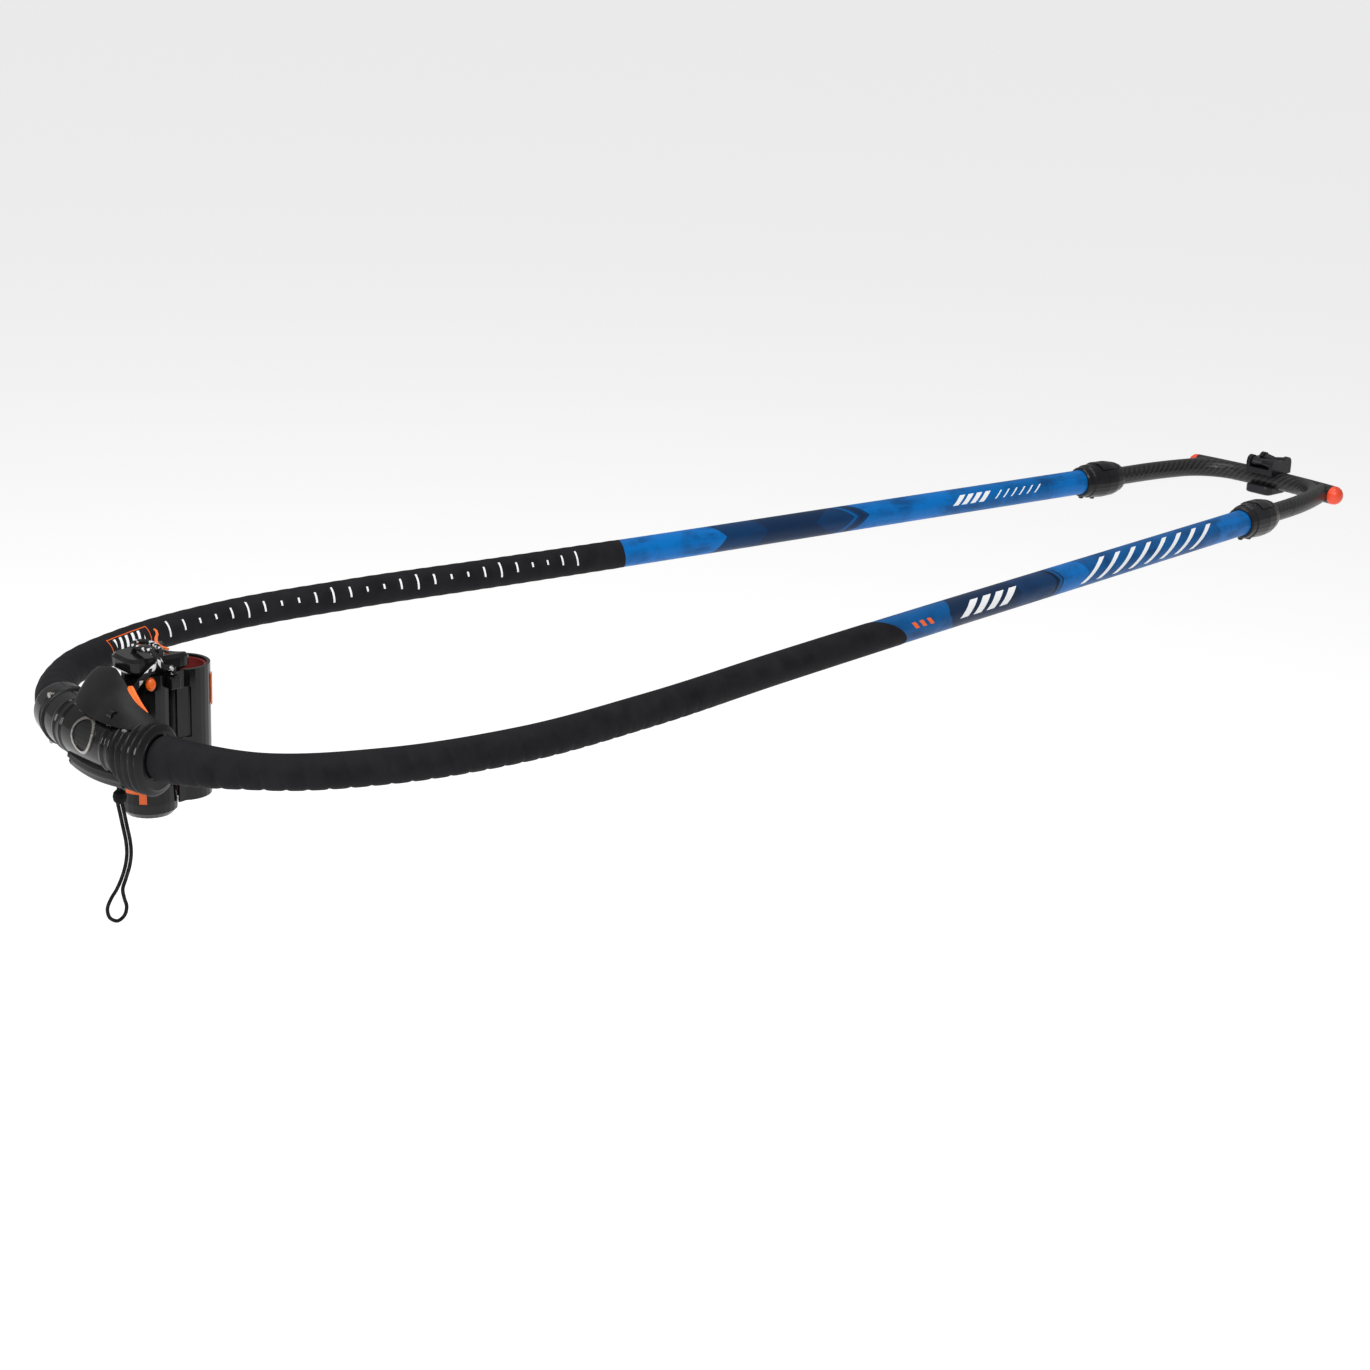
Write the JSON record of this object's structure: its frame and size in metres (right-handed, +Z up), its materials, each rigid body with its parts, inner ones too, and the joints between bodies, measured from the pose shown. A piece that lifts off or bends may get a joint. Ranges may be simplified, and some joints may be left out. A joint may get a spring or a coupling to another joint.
{
  "type": "windsurf boom",
  "caption": "Windsurfing wishbone boom: curved tube with a hinged mast clamp at the front, foam grips, locking collars and a telescoping carbon tail with an outhaul fitting.",
  "frame": {"origin": "on the mast's axis in the middle of the clamp, in the plane of the boom's tube", "axes": "+X from the mast to the tail, +Y to starboard, +Z up along the mast"},
  "size_m": [1.5009, 0.4296, 0.2097],
  "materials": {
    "gloss_black": "glossy",
    "matte_black": "matte",
    "satin_black": "satin",
    "orange_plastic": "glossy",
    "red_plastic": "glossy",
    "red_rubber": "matte",
    "steel": "brushed",
    "black_steel": "satin",
    "blue_paint": "glossy lacquer over aluminium tube",
    "black_foam": "matte moulded foam",
    "speckled_rope": "braided",
    "black_cord": "braided",
    "carbon": "clear-coated woven carbon"
  },
  "bodies": {
    "boom": {"boom_tube": "blue_paint", "grip_port": "black_foam", "grip_starboard": "black_foam", "tube_bush": "black_foam", "head_body": "gloss_black", "head_cover": "gloss_black", "cover_screw_1": "steel", "cover_screw_2": "steel", "cover_screw_3": "steel", "cover_screw_4": "steel", "badge_ring": "steel", "badge_plate": "matte_black", "lower_guard": "matte_black", "base_trim": "orange_plastic", "cradle_pad": "red_rubber", "rope_hook": "orange_plastic", "jaw_pin": "steel", "lever_pin": "steel", "clamp_rope": "speckled_rope", "pull_stem": "black_cord", "pull_loop": "black_cord", "loop_knot": "black_cord"},
    "jaw": {"mast_jaw": "gloss_black", "jaw_pad": "red_rubber", "jaw_stripe": "orange_plastic", "rope_eyelet": "orange_plastic"},
    "lever": {"clamp_lever": "matte_black", "lever_insert": "orange_plastic", "rope_stopper": "speckled_rope"},
    "tail": {"tail_leg_port": "carbon", "tail_leg_starboard": "carbon", "leg_plug_port": "satin_black", "leg_plug_starboard": "satin_black", "leg_ferrule_port": "steel", "leg_ferrule_starboard": "steel", "tail_bend": "carbon", "end_cap_port": "red_plastic", "end_cap_starboard": "red_plastic", "outhaul_block": "satin_black", "outhaul_plate": "satin_black", "outhaul_screw_1": "steel", "outhaul_screw_2": "steel", "roller_pin_front": "steel", "roller_pin_rear": "steel"},
    "collar_port_body": {"collar_port": "satin_black", "wiper_port": "black_foam", "collar_screw_port_1": "black_steel", "collar_screw_port_2": "black_steel", "clip_pivot_port": "steel"},
    "collar_starboard_body": {"collar_starboard": "satin_black", "wiper_starboard": "black_foam", "collar_screw_starboard_1": "black_steel", "collar_screw_starboard_2": "black_steel", "clip_pivot_starboard": "steel"},
    "clip_port_body": {"clip_port": "satin_black"},
    "clip_starboard_body": {"clip_starboard": "satin_black"},
    "roller_front_body": {"roller_front": "satin_black"},
    "roller_rear_body": {"roller_rear": "satin_black"}
  },
  "joints": [
    {"name": "jaw_hinge", "type": "hinge", "parent": "boom", "child": "jaw", "pos_m": [-0.01, 0.0262, 0], "axis": [0, 0, 1], "range_deg": [0, 95]},
    {"name": "lever_hinge", "type": "hinge", "parent": "boom", "child": "lever", "pos_m": [-0.079, 0, 0.025], "axis": [0, -1, 0], "range_deg": [0, 115]},
    {"name": "tail_slide", "type": "slide", "parent": "boom", "child": "tail", "axis": [1, 0, 0], "range_m": [0, 0.5], "deforming": ["boom_tube", "grip_port", "grip_starboard"]},
    {"name": "collar_port_spread", "type": "slide", "parent": "boom", "child": "collar_port_body", "axis": [0, -1, 0], "range_m": [0, 0.0483]},
    {"name": "collar_starboard_spread", "type": "slide", "parent": "boom", "child": "collar_starboard_body", "axis": [0, 1, 0], "range_m": [0, 0.0483]},
    {"name": "clip_port_hinge", "type": "hinge", "parent": "collar_port_body", "child": "clip_port_body", "pos_m": [1.21011, -0.10322, 0.0171], "axis": [0.0961, -0.9954, 0], "range_deg": [0, 75]},
    {"name": "clip_starboard_hinge", "type": "hinge", "parent": "collar_starboard_body", "child": "clip_starboard_body", "pos_m": [1.21011, 0.10322, 0.0171], "axis": [-0.0961, -0.9954, 0], "range_deg": [0, 75]},
    {"name": "roller_front_spin", "type": "hinge", "parent": "tail", "child": "roller_front_body", "pos_m": [1.377, 0, 0.0188], "axis": [0, 1, 0], "continuous": true},
    {"name": "roller_rear_spin", "type": "hinge", "parent": "tail", "child": "roller_rear_body", "pos_m": [1.399, 0, 0.0188], "axis": [0, 1, 0], "continuous": true}
  ],
  "couplings": [
    {"joint": "collar_port_spread", "follows": "tail_slide", "ratio": 0.0965},
    {"joint": "collar_starboard_spread", "follows": "tail_slide", "ratio": 0.0965}
  ]
}
